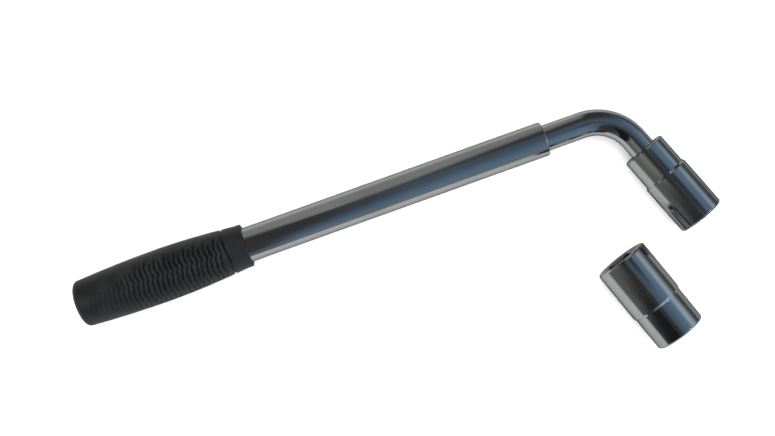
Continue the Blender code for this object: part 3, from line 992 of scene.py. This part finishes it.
def makeFloor():
    bm = bmesh.new()
    bmesh.ops.create_grid(bm, x_segments=1, y_segments=1, size=floorLook["size"] / 2)
    floor = finishedMesh("floor", bm, Matrix.Translation((0, 0, -floorLook["drop"])))
    paper = Finish("studioPaper")
    tooth = paper.grain(paper.objectPlace(), paperMarks["tooth"], 2)
    paper.set(
        Base_Color=(*floorLook["tone"], 1),
        Roughness=0.9,
        Specular_IOR_Level=0.0,
        Normal=paper.relief(tooth, 0.00001),
    )
    # For rays that the plate reflects, the paper is a painted reflection: it glows with set tones, with a painted
    # contact shadow from ambient occlusion where a piece stands on it.
    apart = paper.node("SeparateXYZ", Vector=paper.objectPlace())
    fade = paper.ranged(apart.outputs["X"], 0, 1, floorLook["fadeFrom"], floorLook["fadeTo"])
    behind = paper.ranged(apart.outputs["Y"], 0, 1, floorLook["behindFrom"], floorLook["behindTo"])
    shade = paper.node("AmbientOcclusion", {"samples": 8}, Distance=floorLook["contactShadowReach"])
    near = paper.mixed(behind, floorLook["mirrored"], floorLook["paintedReflectionBehind"])
    tone = paper.mixed(fade, near, floorLook["paintedReflectionFar"])
    darkest, gone = floorLook["contactShadowOpen"]
    # painted contact shadow: the glow is dimmed where the paper is occluded
    strength = paper.ranged(shade.outputs["AO"], floorLook["contactShadowTone"], 1.0, darkest, gone)
    mirrored = paper.node("Emission", Color=tone, Strength=strength)
    glossy = paper.node("LightPath").outputs["Is Glossy Ray"]
    either = paper.node("MixShader")
    paper.feed(either.inputs[0], glossy)
    paper.feed(either.inputs[1], paper.shader.outputs[0])
    paper.feed(either.inputs[2], mirrored.outputs[0])
    paper.feed(paper.tree.nodes["Material Output"].inputs["Surface"], either.outputs[0])
    floor.data.materials.append(paper.material)


# The room that the plate mirrors. Each area lies over the ones before it. An edge is a direction, either as
# a compass angle from +X or as a vector, and how far along it the area starts and is full.
right, up = (1, 0, 0), (0, 0, 1)
ceiling = (0.053, 0.053, 0.055)
room = {
    "farWall": {
        "tone": (0.305, 0.305, 0.295),
        "edges": [((-3.3, 1, -0.4), -0.055, 0.1), ((4, 1, -0.44), -0.05, 0.05)],
    },
    "window": {"tone": (0.09, 0.125, 0.16), "edges": [(right, -0.055, 0.06), (90, 0.63, 0.245)]},
    "windowSky": {"tone": (0.158, 0.265, 0.4), "edges": [(-30, 0.025, 0.645), (right, -0.095, -0.055)]},
    "sideWall": {"tone": (0.274, 0.281, 0.265), "edges": [(200, 0.28, 0.59), (110, -0.113, -0.083)]},
    "sideWallLow": {"tone": (0.166, 0.17, 0.161), "edges": [(200, 0.64, 0.98)]},
    "curtain": {
        "tone": (0.015, 0.016, 0.017),
        "edges": [(200, 0.22, 0.41), (110, -0.117, -0.163), (110, -0.45, -0.38), (135, 0.4, 0.2)],
    },
    "sideHorizon": {"tone": (0.4, 0.41, 0.4), "edges": [(200, 0.93, 1.0), (up, 0.16, 0.0)]},
    "skyline": {"tone": (0.474, 0.577, 0.64), "edges": [(-30, 0.55, 0.68), (right, -0.3, 0.5)]},
    "haze": {
        "tone": (0.21, 0.247, 0.278),
        "edges": [(up, 0.65, 0.24), (270, 0.77, 0.82), (right, -0.26, 0.06)],
    },
    "sill": {"tone": (0.056, 0.066, 0.067), "edges": [(20, 0.874, 0.904), (up, 0.527, -0.038)]},
    "nearHorizon": {
        "tone": (0.62, 0.65, 0.64),
        "edges": [(270, 0.96, 0.985), (up, 0.1, 0.0), (right, -0.05, 0.1)],
    },
    "sun": {"tone": (14, 14, 13.5), "edges": [((0.72, -0.345, 0.602), 0.9985, 0.9997)]},
}
backdrop = (0.96, 0.96, 0.96)


def makeRoom():
    world = bpy.data.worlds.new("studioRoom")
    bpy.context.scene.world = world
    world.use_nodes = True
    tree = world.node_tree
    tree.nodes.clear()

    def add(kind, **settings):
        made = tree.nodes.new("ShaderNode" + kind)
        for key, value in settings.items():
            setattr(made, key, value)
        return made

    direction = add("TexCoord").outputs["Generated"]

    def edgeMask(heading, start, full):
        if isinstance(heading, (int, float)):
            heading = (math.cos(math.radians(heading)), math.sin(math.radians(heading)), 0)
        along = add("VectorMath", operation="DOT_PRODUCT")
        tree.links.new(direction, along.inputs[0])
        along.inputs[1].default_value = Vector(heading).normalized()
        made = add("MapRange", interpolation_type="SMOOTHSTEP")
        tree.links.new(along.outputs["Value"], made.inputs["Value"])
        made.inputs["From Min"].default_value = start
        made.inputs["From Max"].default_value = full
        return made.outputs["Result"]

    def over(below, mask, tone):
        made = add("Mix", data_type="RGBA")
        tree.links.new(mask, made.inputs["Factor"])
        tree.links.new(below, made.inputs[colourSockets[0]])
        made.inputs[colourSockets[1]].default_value = (*tone, 1)
        return made.outputs[colourResult]

    start = add("RGB")
    start.outputs[0].default_value = (*ceiling, 1)
    tone = start.outputs[0]
    for area in room.values():
        mask = None
        for edge in area["edges"]:
            made = edgeMask(*edge)
            if mask is None:
                mask = made
                continue
            both = add("Math", operation="MULTIPLY")
            tree.links.new(mask, both.inputs[0])
            tree.links.new(made, both.inputs[1])
            mask = both.outputs[0]
        tone = over(tone, mask, area["tone"])
    tone = over(tone, add("LightPath").outputs["Is Camera Ray"], backdrop)
    background = add("Background")
    tree.links.new(tone, background.inputs["Color"])
    output = add("OutputWorld")
    tree.links.new(background.outputs[0], output.inputs["Surface"])


def makeOverheadLight():
    data = bpy.data.lights.new("overheadLight", "AREA")
    data.shape = "SQUARE"
    data.size = overhead["size"]
    data.energy = overhead["power"]
    light = bpy.data.objects.new("overheadLight", data)
    bpy.context.scene.collection.objects.link(light)
    light.location = (0, 0, overhead["height"])
    light.visible_glossy = False
    light.visible_camera = False


# A small dark flag above the bend, seen only in the plate.
def makeFlag():
    bm = bmesh.new()
    bmesh.ops.create_circle(bm, cap_ends=True, segments=48, radius=1)
    stretch = Matrix.Diagonal((flag["length"] / 2, flag["width"] / 2, 1, 1))
    turn = Matrix.Rotation(flag["turn"], 4, "Z")
    card = finishedMesh("flag", bm, Matrix.Translation(flag["spot"]) @ turn @ stretch)
    dark = Finish("flagCloth")
    fromMiddle = dark.node("VectorMath", {"operation": "LENGTH"})
    dark.feed(fromMiddle.inputs[0], dark.objectPlace())
    solid = dark.ranged(fromMiddle.outputs["Value"], 1, 0, flag["core"], 1)
    cloth = dark.node("Emission", Color=(*flag["tone"], 1), Strength=1.0)
    clear = dark.node("BsdfTransparent")
    either = dark.node("MixShader")
    dark.feed(either.inputs[0], solid)
    dark.feed(either.inputs[1], clear.outputs[0])
    dark.feed(either.inputs[2], cloth.outputs[0])
    dark.feed(dark.tree.nodes["Material Output"].inputs["Surface"], either.outputs[0])
    card.data.materials.append(dark.material)
    card.visible_camera = False
    card.visible_diffuse = False
    card.visible_shadow = False


def makeCamera():
    data = bpy.data.cameras.new("camera")
    data.lens = camera["lens"]
    data.sensor_width = 36
    data.clip_start = 0.01
    thing = bpy.data.objects.new("camera", data)
    bpy.context.scene.collection.objects.link(thing)
    thing.location = camera["spot"]
    thing.rotation_euler = (camera["lean"], 0, camera["roll"])
    bpy.context.scene.camera = thing


makeFloor()
makeRoom()
makeOverheadLight()
makeFlag()
makeCamera()
bpy.context.scene.view_settings.view_transform = "Standard"
print("stage ready")
